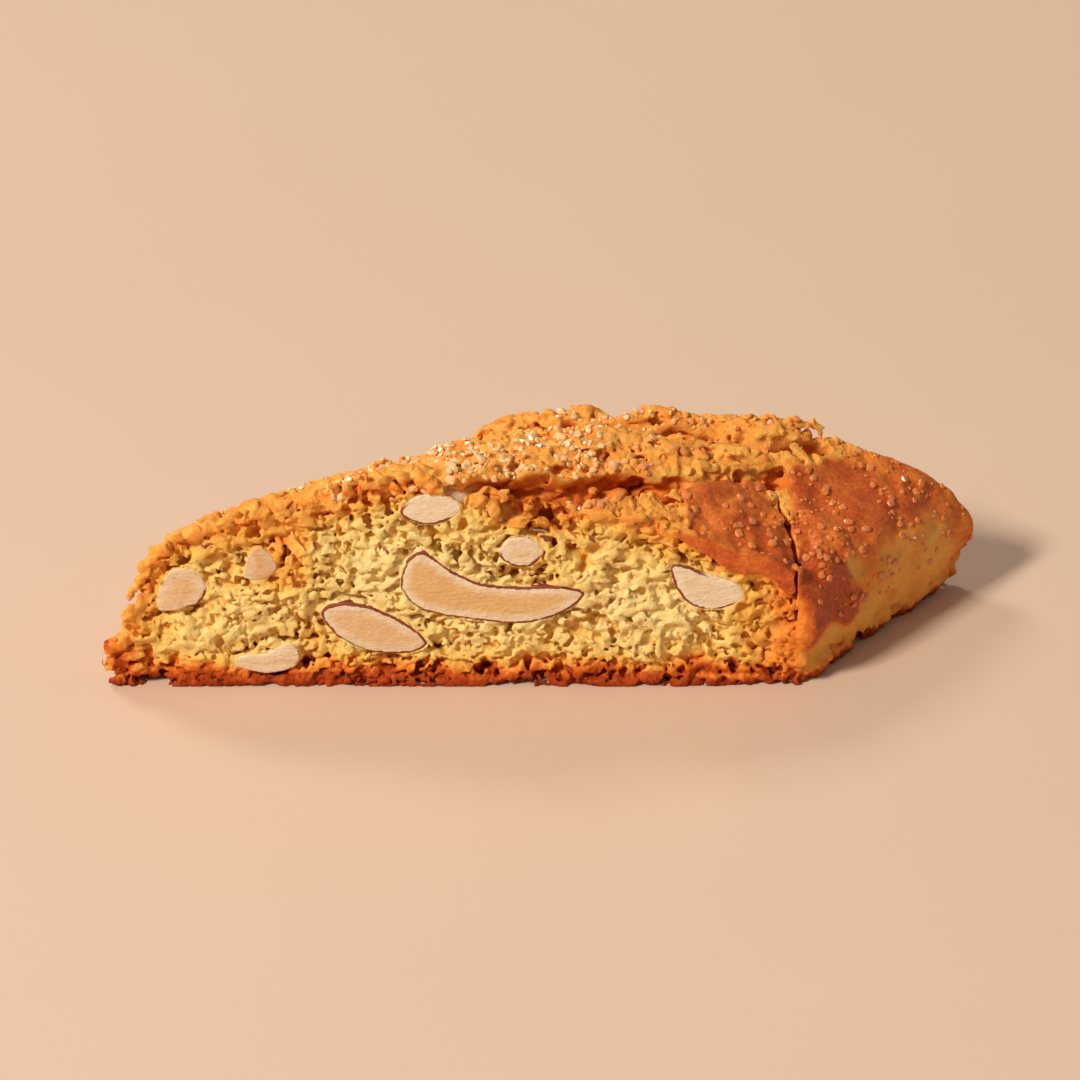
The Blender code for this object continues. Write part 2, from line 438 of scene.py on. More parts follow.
# %% [markdown]
# ## Crumb
#
# Fresh dough rises into bubbles with thin walls, and the knife tears through them, so a cut is a coral of
# small knobs with gaps running under each other. A bump map gives only soft hills. Here a layer close to the
# surface is hollowed wherever a three-dimensional noise is low, down to a floor about a millimetre deep. On
# the crust the same trick with stretched noise makes the crevices between the flakes.

# %% Hollow the outermost layer
near_cut = smoothstep(3.2, 1.4, FACE - np.abs(y))
crumbly = near_cut * smoothstep(0.0, 1.4, below_crust)
in_fissure = smoothstep(-0.2, 0.3, fissure_edge) * upper * smoothstep(3.8, 2.8, below_crust)
crumbly = np.maximum(crumbly * (1 - plates), in_fissure)
crevices = -0.26 - cloud((1.9, 1.1, 1.0), 5) - 0.5 * knobs
pores = 0.02 - knobs - 0.85 * grit
pores = 0.55 * (crevices + (pores - crevices) * crumbly)
bumps = np.abs(cloud((1.0, 1.0, 0.9), 9))
free = smoothstep(-0.1, 0.5, almonds)
depth = (0.85 + 0.6 * waves + 0.6 * bumps + 0.3 * grit + 0.5 * in_fissure) * (1 - plates) * free
base = body + (0.5 * waves - 0.55 * bumps + 0.2 * grit + 0.15) * crumbly * (0.15 + 0.85 * free)
body = np.minimum(-smooth_minimum(-base, -pores, 0.15), base + depth)
del base, pores, crevices, depth, bumps, free, crust, calm, shreds, fissure_edge
print("pores opened")


# %% [markdown]
# ## Holes
#
# Larger bubbles are balls with their middles close to a cut, made uneven with the same noise as the crumb.
# About a thousand are stamped into the field one by one, each only in the few cells that it touches.

# %% Stamp bubbles into the field
BUBBLES = 600  # tried on each cut; those too close to the crust or an almond are left out
HOLE_ROUGHNESS = 0.45  # how much of its radius a hole's wall wanders
HOLE_SQUASH = 1.25  # bubbles are a little wider than they are high


def stamp_holes(centres, radii):
    """Cuts a rough ball out of the body at each centre."""
    for centre, radius in zip(centres, radii):
        first = np.maximum(((centre - radius * 1.5 - block_low) / CELL).astype(int), 0)
        last = np.minimum(((centre + radius * 1.5 - block_low) / CELL).astype(int) + 2, cells)
        window = tuple(slice(a, b) for a, b in zip(first, last))
        part = body[window]
        if part.size:
            away = np.sqrt(
                (x[window[0]] - centre[0]) ** 2
                + (y[:, window[1]] - centre[1]) ** 2
                + ((z[:, :, window[2]] - centre[2]) * HOLE_SQUASH) ** 2
            )
            rough = HOLE_ROUGHNESS * radius * (knobs[window] + waves[window])
            np.maximum(part, radius - away - rough, out=part)


def bubble_places(count, side, seed, low_radius, high_radius):
    """Random middles near one cut, with more small bubbles than large ones."""
    random = np.random.default_rng(seed)
    radii = low_radius + (high_radius - low_radius) * random.random(count) ** 3
    places = np.stack(
        [
            random.uniform(block_low[0], block_high[0], count),
            side * (FACE - random.uniform(-0.1, 0.9, count)),
            random.uniform(0, block_high[2], count),
        ],
        axis=1,
    )
    deep = sample(below_crust, places)
    radii *= 0.5 + 0.5 * np.clip(deep / 3, 0, 1)
    kept = (deep > 0.7) & (sample(almonds, places) > radii * 0.8)
    return places[kept], radii[kept]


for side, seed in ((-1, 11), (1, 12)):
    places, radii = bubble_places(BUBBLES, side, seed, 0.25, 0.75)
    stamp_holes(places, radii)
    print(len(places), "bubbles on one cut, up to", round(float(radii.max()), 2), "mm in radius")

# %% The few holes that are large enough to notice
BIG_HOLES = [
    ((15.6, -0.4, 16.5), 1.35), ((41.4, 0.2, 20.9), 1.0), ((23.9, 0.1, 9.2), 0.8), ((58.6, -1.0, 18.6), 1.9),
    ((13.6, -0.2, 17.6), 1.2), ((21.8, 0.0, 20.6), 1.1), ((27.6, -0.3, 21.6), 1.0), ((66.4, -0.5, 6.6), 1.1),
    ((79.6, -0.6, 5.0), 1.7), ((82.0, -0.5, 8.4), 1.5), ((81.4, -0.9, -0.4), 1.9),
]  # across, behind the front cut and up, in mm, then radius
centres = [np.array([LEFT_END + across, -FACE + behind, up]) for (across, behind, up), _ in BIG_HOLES]
stamp_holes(centres, [radius for _, radius in BIG_HOLES])
CRACK_END = (70.3, 15.2, 19.8)  # along, over and up, in mm: the dark hole where the fissure meets a crack
crack_end = np.array([LEFT_END + CRACK_END[0] + CRACK_END[1] * SLANT, -FACE + CRACK_END[1], CRACK_END[2]])
stamp_holes([crack_end], [1.7])
print(len(BIG_HOLES) + 1, "large holes placed")

# %% Seat the almonds, and keep the foot flat
ALMOND_LAP = 0.1  # mm that the crumb clings to an almond's side
MOST_PROUD = 0.45  # mm that the crumb may stand out from the knife's plane
MOST_HIGH = 0.75  # mm that a flake may stand above the frame's dome
body = np.maximum(body, -ALMOND_LAP - almonds)
body = np.maximum(body, 0.05 * np.abs(waves) - z)
body = np.maximum(body, np.abs(y) - FACE - MOST_PROUD)
body = np.maximum(body, z - cad_high.z / MM - MOST_HIGH)


# %% [markdown]
# ## From field to mesh
#
# The zero level of the field becomes a mesh. Bubbles that no cut opened would be shells that nobody sees, so
# only the largest connected surface is kept. Then the mesh is thinned where it is flat.

# %% Polygons from a field
def largest_shell(points, quads):
    """The points and quads of the largest connected surface."""
    label = np.arange(len(points))
    starts = quads.ravel()
    ends = np.roll(quads, -1, axis=1).ravel()
    while True:
        lower = np.minimum(label[starts], label[ends])
        merged = label.copy()
        np.minimum.at(merged, starts, lower)
        np.minimum.at(merged, ends, lower)
        merged = merged[merged]
        if (merged == label).all():
            break
        label = merged
    kept = label == np.bincount(label).argmax()
    renumbered = np.cumsum(kept) - 1
    return points[kept], renumbered[quads[kept[quads[:, 0]]]]


def mesh_from_field(name, field, low, cell):
    """A smooth-shaded mesh object at the field's zero level, in metres."""
    grid = vdb.FloatGrid(float(field.max()))
    grid.copyFromArray(np.ascontiguousarray(field, np.float32))
    points, _, quads = grid.convertToPolygons(isovalue=0.0, adaptivity=0.0)
    points, quads = largest_shell(points, quads.astype(np.int64))
    mesh = bpy.data.meshes.new(name)
    mesh.from_pydata(((points * cell + low) * MM).tolist(), [], quads.tolist())
    mesh.shade_smooth()
    return object_with(name, mesh)


def triangle_count(piece):
    return len(piece.data.loops) - 2 * len(piece.data.polygons)


def thin_out(piece, most):
    """Joins the mesh's flattest faces until it has at most this many triangles."""
    before = triangle_count(piece)
    if before > most:
        thinner = piece.modifiers.new("thinner", "DECIMATE")
        thinner.ratio = most / before
        bpy.context.view_layer.objects.active = piece
        bpy.ops.object.modifier_apply(modifier=thinner.name)
    print(piece.name, "had", before, "triangles, and has", triangle_count(piece))


# %% [markdown]
# ## Four slabs
#
# One mesh of under 200,000 triangles can't hold the crumb. It could be thinned more and leant on a bump map,
# but that loses the undercut knobs. Here the whole surface is thinned gently and then divided into four slabs
# with the same number of triangles, from the front cut to the back one. Points on a seam are the same in both
# slabs, and so are their normals, so that no seam shows.

# %% Thin the biscuit and divide it
SLAB_TRIANGLES = 180_000
SLAB_NAMES = ("front_cut", "front_crust", "back_crust", "back_cut")


def slab_of_polygons(mesh):
    """The number of the slab that each face goes to, so that all slabs get the same number of faces."""
    depths = read_vectors(mesh.polygons, "center")[:, 1]
    edges = np.quantile(depths, np.arange(1, len(SLAB_NAMES)) / len(SLAB_NAMES))
    print("slabs meet at", [round(float(edge) / MM, 1) for edge in edges], "mm from the middle")
    return np.digitize(depths, edges)


def divided(whole):
    """New objects for the slabs of a triangle mesh, with the whole mesh's normals."""
    mesh = whole.data
    slab = slab_of_polygons(mesh)
    places = vertex_places(whole)
    normals = read_vectors(mesh.vertices, "normal")
    corners = np.empty(len(mesh.loops), np.int32)
    mesh.loops.foreach_get("vertex_index", corners)
    corners = corners.reshape(-1, 3)
    pieces = []
    for k, name in enumerate(SLAB_NAMES):
        kept, triangles = np.unique(corners[slab == k], return_inverse=True)
        part = bpy.data.meshes.new("biscuit_" + name)
        part.from_pydata((places[kept] * MM).tolist(), [], triangles.reshape(-1, 3).tolist())
        part.shade_smooth()
        part.normals_split_custom_set_from_vertices(normals[kept].tolist())
        made = object_with(part.name, part)
        pieces.append(made)
        print(made.name, "has", triangle_count(made), "triangles")
    bpy.data.objects.remove(whole)
    return pieces


def vertex_places(piece):
    return read_vectors(piece.data.vertices, "co") / MM


whole = mesh_from_field("biscuit_whole", body, block_low, CELL)
thin_out(whole, SLAB_TRIANGLES * len(SLAB_NAMES))
make_triangles = whole.modifiers.new("triangles", "TRIANGULATE")
bpy.ops.object.modifier_apply(modifier=make_triangles.name)
slabs = divided(whole)
for slab in slabs:
    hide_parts("biscuit")
    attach(slab, BODY)

# %% [markdown]
# ## Browning, and painted shade in pits
#
# Heat comes from outside, so colour follows depth: dark brown at the foot, orange in the crust, gold just
# under it, and pale crumb in the middle. Deeper in pores, crevices and the fissure the colour is also darker,
# which is painted shade. One number from 0, pale, to 1, scorched, is worked out for each vertex and stored
# there. The material then only has to turn that number into a colour.

# %% Work out the browning, with painted shade in pits
def note_on_vertices(piece, name, values):
    """Stores one number for each vertex, which a material can read by name."""
    noted = piece.data.attributes.new(name, "FLOAT", "POINT")
    noted.data.foreach_set("value", values.astype(np.float32))


TAN_PATCH = [
    (83.6, 6.6), (84.6, 9.6), (86.2, 13.0), (86.9, 16.0), (86.9, 20.0), (99.0, 26.0), (99.0, -3.0),
    (85.6, -3.0), (84.6, 2.6),
]
GLAZED_PATCH = [(80.6, -3.0), (81.6, 3.6), (84.0, 6.8), (87.2, 6.4), (88.6, -3.0)]
uneven = cloud((2.2, 2.2, 2.2), 21)


def crumb_browning_and_pore_shade(deep, height, speckle, pit, spot_along):
    """Browning of the cut faces: the crumb, and the toasted bands along the foot, the tip and the top, with
    painted shade deeper in the pores.
    """
    brown = np.interp(
        deep + 0.7 * speckle, [0.0, 0.8, 1.8, 3.2, 5.5, 9.0], [0.72, 0.62, 0.46, 0.28, 0.14, 0.06]
    )
    foot = np.interp(height + 0.8 * speckle, [0.6, 1.8, 2.8, 4.2, 6.0], [0.88, 0.80, 0.55, 0.24, 0.0])
    tip = 0.92 * smoothstep(8.0, 2.0, np.hypot(spot_along, height - 3.0) + speckle)
    under_top = smoothstep(11.0, 17.0, spot_along) * smoothstep(42.0, 32.0, spot_along)
    under_top *= 0.5 * smoothstep(6.5, 2.5, deep) * smoothstep(9.0, 13.0, height)
    end = 0.64 * smoothstep(72.0, 83.5, spot_along + 1.6 * speckle)
    # Deeper in a pore the number rises, so the crumb is darker there: painted shade.
    return np.maximum.reduce([brown, foot, tip, under_top, end]) + 0.15 * smoothstep(0.4, 1.5, pit)


def note_browning_and_pit_shade(piece):
    points = vertex_places(piece)
    height = points[:, 2]
    deep = sample(below_crust, points)
    pit = -sample(loaf, points)
    speckle = sample(uneven, points)
    spot_along = along_at(points[:, 0], points[:, 1])
    spot_over = points[:, 1] + FACE
    cut = smoothstep(4.0, 2.4, FACE - np.abs(points[:, 1])) * smoothstep(0.45, 1.2, deep)

    tongue = smoothstep(-0.3, 0.0, inside_outline(PLATE_TONGUE, points[:, 0] - LEFT_END, height))
    tongue *= smoothstep(-11.3, -11.6, points[:, 1]) * smoothstep(0.5, 0.2, pit)
    shift = 0.7 * sample(wobble, points)
    front = smoothstep(-0.3, 0.3, inside_outline(FRONT_PLATE, spot_along, spot_over) + shift)
    front *= smoothstep(1.8, 1.2, deep)
    end = smoothstep(-0.4, 0.6, inside_outline(END_PLATE, spot_along, spot_over) + shift)
    tan = smoothstep(-1.6, 1.2, inside_outline(TAN_PATCH, spot_along, spot_over) + speckle)
    tan *= smoothstep(0.5, 3.0, height) * smoothstep(15.5, 12.0, height + speckle)
    fissure = smoothstep(-0.3, 0.4, inside_outline(FISSURE, spot_along, spot_over))
    fissure *= smoothstep(9, 12, height) * smoothstep(3.6, 2.6, deep + 0.5 * speckle)
    plate = np.maximum(front, end) * smoothstep(2, 6, height)
    cut *= 1 - smoothstep(0.2, 0.8, front)

    # Deeper in a crevice the crust is darker: painted shade.
    crust = 0.53 + 0.06 * speckle + 0.14 * smoothstep(0.3, 1.0, pit)
    crust += (0.76 + 0.06 * speckle - crust) * plate
    crust += (0.48 + 0.12 * speckle - crust) * tan
    glazed = smoothstep(-0.5, 0.5, inside_outline(GLAZED_PATCH, spot_along, spot_over) + 0.8 * speckle)
    glazed *= smoothstep(4.5, 7.0, height + speckle)
    crust += (0.82 - crust) * glazed
    crust += (0.90 - crust) * smoothstep(1.8, 0.6, height)
    crumb = crumb_browning_and_pore_shade(deep, height, speckle, pit, spot_along)
    brown = crust * (1 - cut) + crumb * cut
    # Deeper in the fissure the crumb is darker: painted shade.
    brown += (0.53 + 0.12 * smoothstep(0.6, 2.4, pit) - brown) * fissure
    brown += (0.77 - brown) * tongue
    note_on_vertices(piece, "brown", np.clip(brown, 0, 1))
    shine = np.maximum(plate * (1 - 0.6 * tan), glazed) * (1 - cut)
    note_on_vertices(piece, "shine", np.maximum(shine, tongue))
    print(piece.name, "browning from", round(float(brown.min()), 2), "to", round(float(brown.max()), 2))


for slab in slabs:
    note_browning_and_pit_shade(slab)


# %% [markdown]
# ## Materials
#
# Each material is a small tree of nodes. A few helpers keep the trees short to read.

# %% Helpers for node materials
def new_material(name):
    material = bpy.data.materials.new(name)
    material.use_nodes = True
    return material, material.node_tree, material.node_tree.nodes["Principled BSDF"]


def plug(tree, value, socket):
    """Gives a socket a number or a colour, or another node's output."""
    if isinstance(value, bpy.types.NodeSocket):
        tree.links.new(value, socket)
    else:
        socket.default_value = value


def noted(tree, name):
    """The number noted on each vertex under this name."""
    node = tree.nodes.new("ShaderNodeAttribute")
    node.attribute_name = name
    return node.outputs["Fac"]


def calculated(tree, operation, *values):
    """One Math node."""
    node = tree.nodes.new("ShaderNodeMath")
    node.operation = operation
    for value, socket in zip(values, node.inputs):
        plug(tree, value, socket)
    return node.outputs[0]


def noise_in_mm(tree, size, detail=3.0, roughness=0.55, stretch=(1, 1, 1)):
    """Noise from 0 to 1 with lumps of about this size in mm."""
    place = tree.nodes.new("ShaderNodeTexCoord").outputs["Object"]
    scaled = tree.nodes.new("ShaderNodeVectorMath")
    scaled.operation = "DIVIDE"
    plug(tree, place, scaled.inputs[0])
    plug(tree, [size * MM * s for s in stretch], scaled.inputs[1])
    node = tree.nodes.new("ShaderNodeTexNoise")
    plug(tree, scaled.outputs[0], node.inputs["Vector"])
    plug(tree, 1.0, node.inputs["Scale"])
    plug(tree, detail, node.inputs["Detail"])
    plug(tree, roughness, node.inputs["Roughness"])
    return node.outputs["Fac"]


def srgb(red, green, blue):
    """A colour as a colour picker gives it, from 0 to 255, in the linear values that shaders use."""
    shares = [value / 255 for value in (red, green, blue)]
    linear = [s / 12.92 if s <= 0.04 else ((s + 0.055) / 1.055) ** 2.4 for s in shares]
    return (*linear, 1.0)


def ramp(tree, factor, stops):
    """A colour ramp through (position, colour) stops."""
    node = tree.nodes.new("ShaderNodeValToRGB")
    elements = node.color_ramp.elements
    while len(elements) < len(stops):
        elements.new(1.0)
    for element, (position, colour) in zip(elements, stops):
        element.position = position
        element.color = colour
    plug(tree, factor, node.inputs["Fac"])
    return node.outputs["Color"]


def mixed(tree, factor, first, second):
    """Two colours mixed by a factor."""
    node = tree.nodes.new("ShaderNodeMix")
    node.data_type = "RGBA"
    for value, socket in zip((factor, first, second), (node.inputs[0], node.inputs[6], node.inputs[7])):
        plug(tree, value, socket)
    return node.outputs[2]


def bumped(tree, shader, height, depth, strength=1.0):
    """Lets a height from 0 to 1 shape the light on the surface, for relief too fine for the mesh."""
    bump = tree.nodes.new("ShaderNodeBump")
    plug(tree, strength, bump.inputs["Strength"])
    plug(tree, depth * MM, bump.inputs["Distance"])
    plug(tree, height, bump.inputs["Height"])
    plug(tree, bump.outputs["Normal"], shader.inputs["Normal"])


# %% [markdown]
# ## The biscuit's finish
#
# Baked dough is dull and grainy, and only the plates have a shine. Separate materials for crumb and crust
# would need a border between them. One material with a colour ramp has none: the browning, with its painted
# shade in pits, picks the colour, fine noise mottles it, and the shine lowers the roughness.

# %% Browning to colour
BROWNING = [
    (0.00, srgb(255, 226, 154)),
    (0.16, srgb(252, 209, 118)),
    (0.34, srgb(248, 186, 82)),
    (0.50, srgb(251, 174, 78)),
    (0.64, srgb(242, 138, 48)),
    (0.78, srgb(204, 88, 28)),
    (0.90, srgb(158, 54, 12)),
    (1.00, srgb(104, 28, 6)),
]


def biscuit_finish():
    material, tree, shader = new_material("baked_dough")
    fine = calculated(tree, "MULTIPLY_ADD", noise_in_mm(tree, 0.45, 4.0), 0.26, -0.13)
    broad = calculated(tree, "MULTIPLY_ADD", noise_in_mm(tree, 1.7), 0.20, -0.10)
    # The noted browning number also holds painted shade in pits and crevices.
    brown = calculated(tree, "ADD", noted(tree, "brown"), calculated(tree, "ADD", fine, broad))
    colour = ramp(tree, brown, BROWNING)
    plug(tree, colour, shader.inputs["Base Color"])
    dull = calculated(tree, "MULTIPLY_ADD", noise_in_mm(tree, 0.8), 0.25, 0.55)
    rough = calculated(tree, "MULTIPLY_ADD", noted(tree, "shine"), -0.30, dull)
    plug(tree, rough, shader.inputs["Roughness"])
    gloss = calculated(tree, "MULTIPLY_ADD", noted(tree, "shine"), 0.25, 0.12)
    plug(tree, gloss, shader.inputs["Specular IOR Level"])
    gritty = noise_in_mm(tree, 0.32, 4.0, 0.65)
    strength = calculated(tree, "MULTIPLY_ADD", noted(tree, "shine"), -0.35, 0.8)
    bumped(tree, shader, gritty, 0.3, strength)
    return material


crust_and_crumb = biscuit_finish()
for slab in slabs:
    slab.data.materials.append(crust_and_crumb)


# %% [markdown]
# ## Almonds
#
# A kernel is dense and waxy, so the knife leaves a nearly flat face with a crisp rim and fine scratches.
# Some almonds kept their thin brown skin, some lost it. The middle of a kernel is darker than its rim. Each
# gets a block of finer cells of its own.

# %% Which almonds have skin, and how their cut looks
ALMOND_LOOKS = {
    "almond_left_end": {"skin": (0.6, -0.8, 0.55), "core": 0.55, "toast": 0.45},
    "almond_chip": {"skin": None, "core": 0.75, "toast": 0.75},
    "almond_low": {"skin": None, "core": 0.25, "toast": 0.30},
    "almond_leaf": {"skin": (0.55, 0.3, -0.7), "core": 0.6, "toast": 0.30},
    "almond_bone": {"skin": (0.0, 0.0, -9.0), "core": 0.9, "toast": 0.15},
    "almond_top": {"skin": (-0.45, -0.9, 0.3), "core": 0.15, "toast": 0.10},
    "almond_small": {"skin": (-0.2, -1.0, 0.2), "core": 0.35, "toast": 0.20},
    "almond_wedge": {"skin": (-0.75, -0.65, -0.1), "core": 0.20, "toast": 0.10},
}  # skin: the side that has it, as across and up, then how far round it is bare
BACK_LOOK = {"skin": (0.3, -0.9, -0.5), "core": 0.6, "toast": 0.2}


# %% Make an almond
ALMOND_CELL = 0.15  # mm
ALMOND_MOST = 9_000  # triangles
ALMOND_SUNK = 0.04  # mm that an almond's cut lies behind the knife's
ALMOND_DEPTH = 3.0  # mm in from its side that an almond's field goes on measuring


def distance_from_outline(points, outline_field, low, cell):
    """How far points are from the edge of the almond's cut, in mm, seen straight on."""
    edge = np.zeros(outline_field.shape, bool)
    edge[:-1] |= (outline_field[:-1] < 0) != (outline_field[1:] < 0)
    edge[:, :-1] |= (outline_field[:, :-1] < 0) != (outline_field[:, 1:] < 0)
    edge_places = low[[0, 2]] + cell * (np.argwhere(edge) + 0.25)
    away = np.full(len(points), 99.0)
    for place in edge_places:
        np.minimum(away, np.hypot(points[:, 0] - place[0], points[:, 2] - place[1]), out=away)
    return away


def make_almond(name, seed):
    low = np.array(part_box(name)[0]) / MM - 1.0
    high = np.array(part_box(name)[1]) / MM + 1.0
    shape = tuple(int(n) for n in np.ceil((high - low) / ALMOND_CELL))
    field = distance_to_node(name, ALMOND_DEPTH, low, shape, ALMOND_CELL)
    front = lies_in_front(name)
    side = blurred(carried_past_cut(field, low, ALMOND_CELL, front), (1, 2))
    side += 0.06 * cloud((1.0, 1.0, 1.0), seed, shape, ALMOND_CELL)
    depth = (low[1] + ALMOND_CELL * np.arange(shape[1])).reshape(1, -1, 1)
    scratches = 0.05 * cloud((1.6, 1.0, 0.5), seed + 50, shape, ALMOND_CELL)
    dome = 0.10 * smoothstep(0.1, 0.9, -side)
    cut = (-FACE - depth if front else depth - FACE) + ALMOND_SUNK + scratches - dome
    made = mesh_from_field(name + "_kernel", np.maximum(side, cut), low, ALMOND_CELL)
    thin_out(made, ALMOND_MOST)
    points = vertex_places(made)
    look = ALMOND_LOOKS.get(name, BACK_LOOK)
    middle = side[:, 2 if front else -3]
    note_on_vertices(made, "rim", distance_from_outline(points, middle, low, ALMOND_CELL))
    skin = np.zeros(len(points))
    if look["skin"]:
        offset = points[:, (0, 2)] - points[:, (0, 2)].mean(axis=0)
        offset /= np.linalg.norm(offset, axis=1)[:, None]
        skin = smoothstep(-0.15, 0.15, offset @ np.array(look["skin"][:2]) - look["skin"][2])
    note_on_vertices(made, "skin", skin)
    note_on_vertices(made, "core", np.full(len(points), look["core"]))
    note_on_vertices(made, "toast", np.full(len(points), look["toast"]))
    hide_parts(name)
    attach(made, BODY)
    return made


# %% [markdown]
# ## The almonds' finish
#
# A cut kernel is cream at the rim and honey in the middle, with fine streaks, and light goes a little way
# into it. The skin is a thin reddish line. It could be a shell of its own, but that would be far thinner than
# the mesh's triangles, so the material draws it by the distance from the rim.

# %% Cream, honey and skin
def almond_finish():
    material, tree, shader = new_material("almond_kernel")
    uneven = calculated(tree, "MULTIPLY_ADD", noise_in_mm(tree, 1.2, 4.0), 1.3, -0.65)
    rim = noted(tree, "rim")
    inner = calculated(tree, "ADD", rim, uneven)
    inward = tree.nodes.new("ShaderNodeMapRange")
    plug(tree, inner, inward.inputs["Value"])
    plug(tree, 0.6, inward.inputs["From Min"])
    plug(tree, 1.6, inward.inputs["From Max"])
    core = calculated(tree, "MULTIPLY", inward.outputs[0], noted(tree, "core"))
    flesh = mixed(tree, core, srgb(250, 228, 190), srgb(238, 186, 114))
    patches = calculated(tree, "MULTIPLY_ADD", noise_in_mm(tree, 2.0, 3.0), 1.8, -0.2)
    toasted = calculated(tree, "MULTIPLY", noted(tree, "toast"), patches)
    flesh = mixed(tree, toasted, flesh, srgb(214, 140, 70))
    streaks = noise_in_mm(tree, 0.9, 4.0, 0.6)
    contrast = calculated(tree, "MULTIPLY_ADD", streaks, 2.4, -0.95)
    flesh = mixed(tree, calculated(tree, "MULTIPLY", contrast, 0.3), flesh, srgb(214, 150, 84))
    ragged = calculated(tree, "MULTIPLY_ADD", noise_in_mm(tree, 0.6, 3.0), 0.34, 0.02)
    inside_skin = calculated(tree, "LESS_THAN", rim, calculated(tree, "ADD", ragged, 0.13))
    skinned = calculated(tree, "MULTIPLY", inside_skin, noted(tree, "skin"))
    papery = mixed(tree, noise_in_mm(tree, 0.5), srgb(110, 36, 18), srgb(168, 80, 48))
    colour = mixed(tree, skinned, flesh, papery)
    plug(tree, colour, shader.inputs["Base Color"])
    plug(tree, calculated(tree, "MULTIPLY_ADD", streaks, 0.25, 0.26), shader.inputs["Roughness"])
    shader.inputs["Subsurface Weight"].default_value = 0.12
    shader.inputs["Subsurface Radius"].default_value = (1.0, 0.7, 0.4)
    shader.inputs["Subsurface Scale"].default_value = 0.6 * MM
    bumped(tree, shader, noise_in_mm(tree, 0.5, 4.0, 0.6, (1.5, 1.0, 0.8)), 0.22, 0.9)
    return material


kernel_finish = almond_finish()
for k, name in enumerate(almond_names):
    make_almond(name, 100 + k).data.materials.append(kernel_finish)


# %% [markdown]
# ## Sugar
#
# Coarse sugar was scattered on the loaf before it was baked. Each grain is a small faceted crystal, partly
# sunk in the crust. A crystal could be an instance of one shape, but joined meshes are simpler, and every
# grain can then be different.

# %% Grow and scatter the crystals
SUGAR_FIELDS = [
    ([(26, -1), (62, -1), (58, 14), (44, 19), (30, 18)], 270, 0.28, 0.78),
    ([(40, 14), (70, 14), (74, 24), (38, 24)], 100, 0.28, 0.70),
    (FRONT_PLATE, 44, 0.26, 0.76),
    (END_PLATE, 150, 0.24, 0.72),
    ([(4, 0), (30, 0), (30, 24), (4, 24)], 60, 0.25, 0.45),
]  # outline on the map, number of grains, smallest and largest radius in mm


def crust_spots():
    """Middles and normals of the biscuit's faces that look up or out on the top, in mm."""
    middles = np.vstack([read_vectors(slab.data.polygons, "center") for slab in slabs]) / MM
    normals = np.vstack([read_vectors(slab.data.polygons, "normal") for slab in slabs])
    shown = (sample(below_crust, middles) < 1.6) & (sample(loaf, middles) > -0.5)
    shown &= np.abs(middles[:, 1]) < FACE - 0.2
    shown &= (middles[:, 2] > 6.5) & (middles[:, 2] < cad_high.z / MM + 0.2)
    shown &= (normals[:, 2] > 0.2) | (middles[:, 0] > 36) & (normals[:, 0] > 0.3)
    return middles[shown], normals[shown]


def add_hull(shape, corners):
    """Adds the hull of points in mm to a bmesh, and removes the points that it left inside."""
    placed = [shape.verts.new(corner * MM) for corner in corners]
    hull = bmesh.ops.convex_hull(shape, input=placed)
    loose = [v for v in hull["geom_interior"] if isinstance(v, bmesh.types.BMVert)]
    bmesh.ops.delete(shape, geom=loose, context="VERTS")


def object_from(shape, name):
    """Turns a finished bmesh into an object in the scene."""
    mesh = bpy.data.meshes.new(name)
    shape.to_mesh(mesh)
    shape.free()
    return object_with(name, mesh)


def crystal(shape, centre, normal, radius, random):
    """Adds one grain: the hull of a few points on a squashed ball, turned to lie on the crust."""
    spin = Matrix.Rotation(random.uniform(0, 6.28), 3, "Z")
    turned = Vector(normal).to_track_quat("Z", "Y").to_matrix() @ spin
    stretch = [random.uniform(*sides) * radius for sides in ((0.8, 1.15), (0.75, 1.0), (0.4, 0.6))]
    corners = []
    for signs in np.ndindex(2, 2, 2):
        corner = Vector([(2 * s - 1) * 0.62 + random.uniform(-0.14, 0.14) for s in signs])
        corners.append(corner)
    for axis in range(3):
        for sign in (-1, 1):
            tip = Vector([random.uniform(-0.25, 0.25) for _ in range(3)])
            tip[axis] = sign * random.uniform(0.82, 1.0)
            corners.append(tip)
    middle = Vector(centre) + Vector(normal) * radius * 0.18
    stretched = [Vector([c * s for c, s in zip(corner, stretch)]) for corner in corners]
    add_hull(shape, [middle + turned @ corner for corner in stretched])


def scatter_sugar():
    random = np.random.default_rng(31)
    middles, normals = crust_spots()
    spot_along = along_at(middles[:, 0], middles[:, 1])
    spot_over = middles[:, 1] + FACE
    shape = bmesh.new()
    placed = np.empty((0, 3))
    clumpiness = cloud((3.5, 3.5, 3.5), 22)
    for outline, count, smallest, largest in SUGAR_FIELDS:
        clumps = sample(clumpiness, middles) > random.uniform(-0.75, 0.45, len(middles))
        candidates = np.flatnonzero((inside_outline(outline, spot_along, spot_over) > 0) & clumps)
        added = 0
        for pick in random.permutation(candidates):
            if added == count:
                break
            centre = middles[pick]
            if len(placed) and np.min(np.linalg.norm(placed - centre, axis=1)) < 0.6:
                continue
            placed = np.vstack([placed, centre])
            radius = smallest + (largest - smallest) * random.random() ** 1.8
            crystal(shape, centre, normals[pick], radius, random)
            added += 1
        print(added, "grains among", len(candidates), "spots")
    made = object_from(shape, "sugar_grains")
    places = vertex_places(made)
    note_on_vertices(made, "amber", smoothstep(50.0, 62.0, along_at(places[:, 0], places[:, 1])))
    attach(made, BODY)
    print(len(placed), "grains of sugar,", triangle_count(made), "triangles")
    return made


sugar = scatter_sugar()


# %% [markdown]
# ## The sugar's finish
#
# Real sugar is clear. Partly clear grains came out as dark dots on the crust, so these are solid and glossy,
# with some light let into them. Towards the plates the grains turn amber.

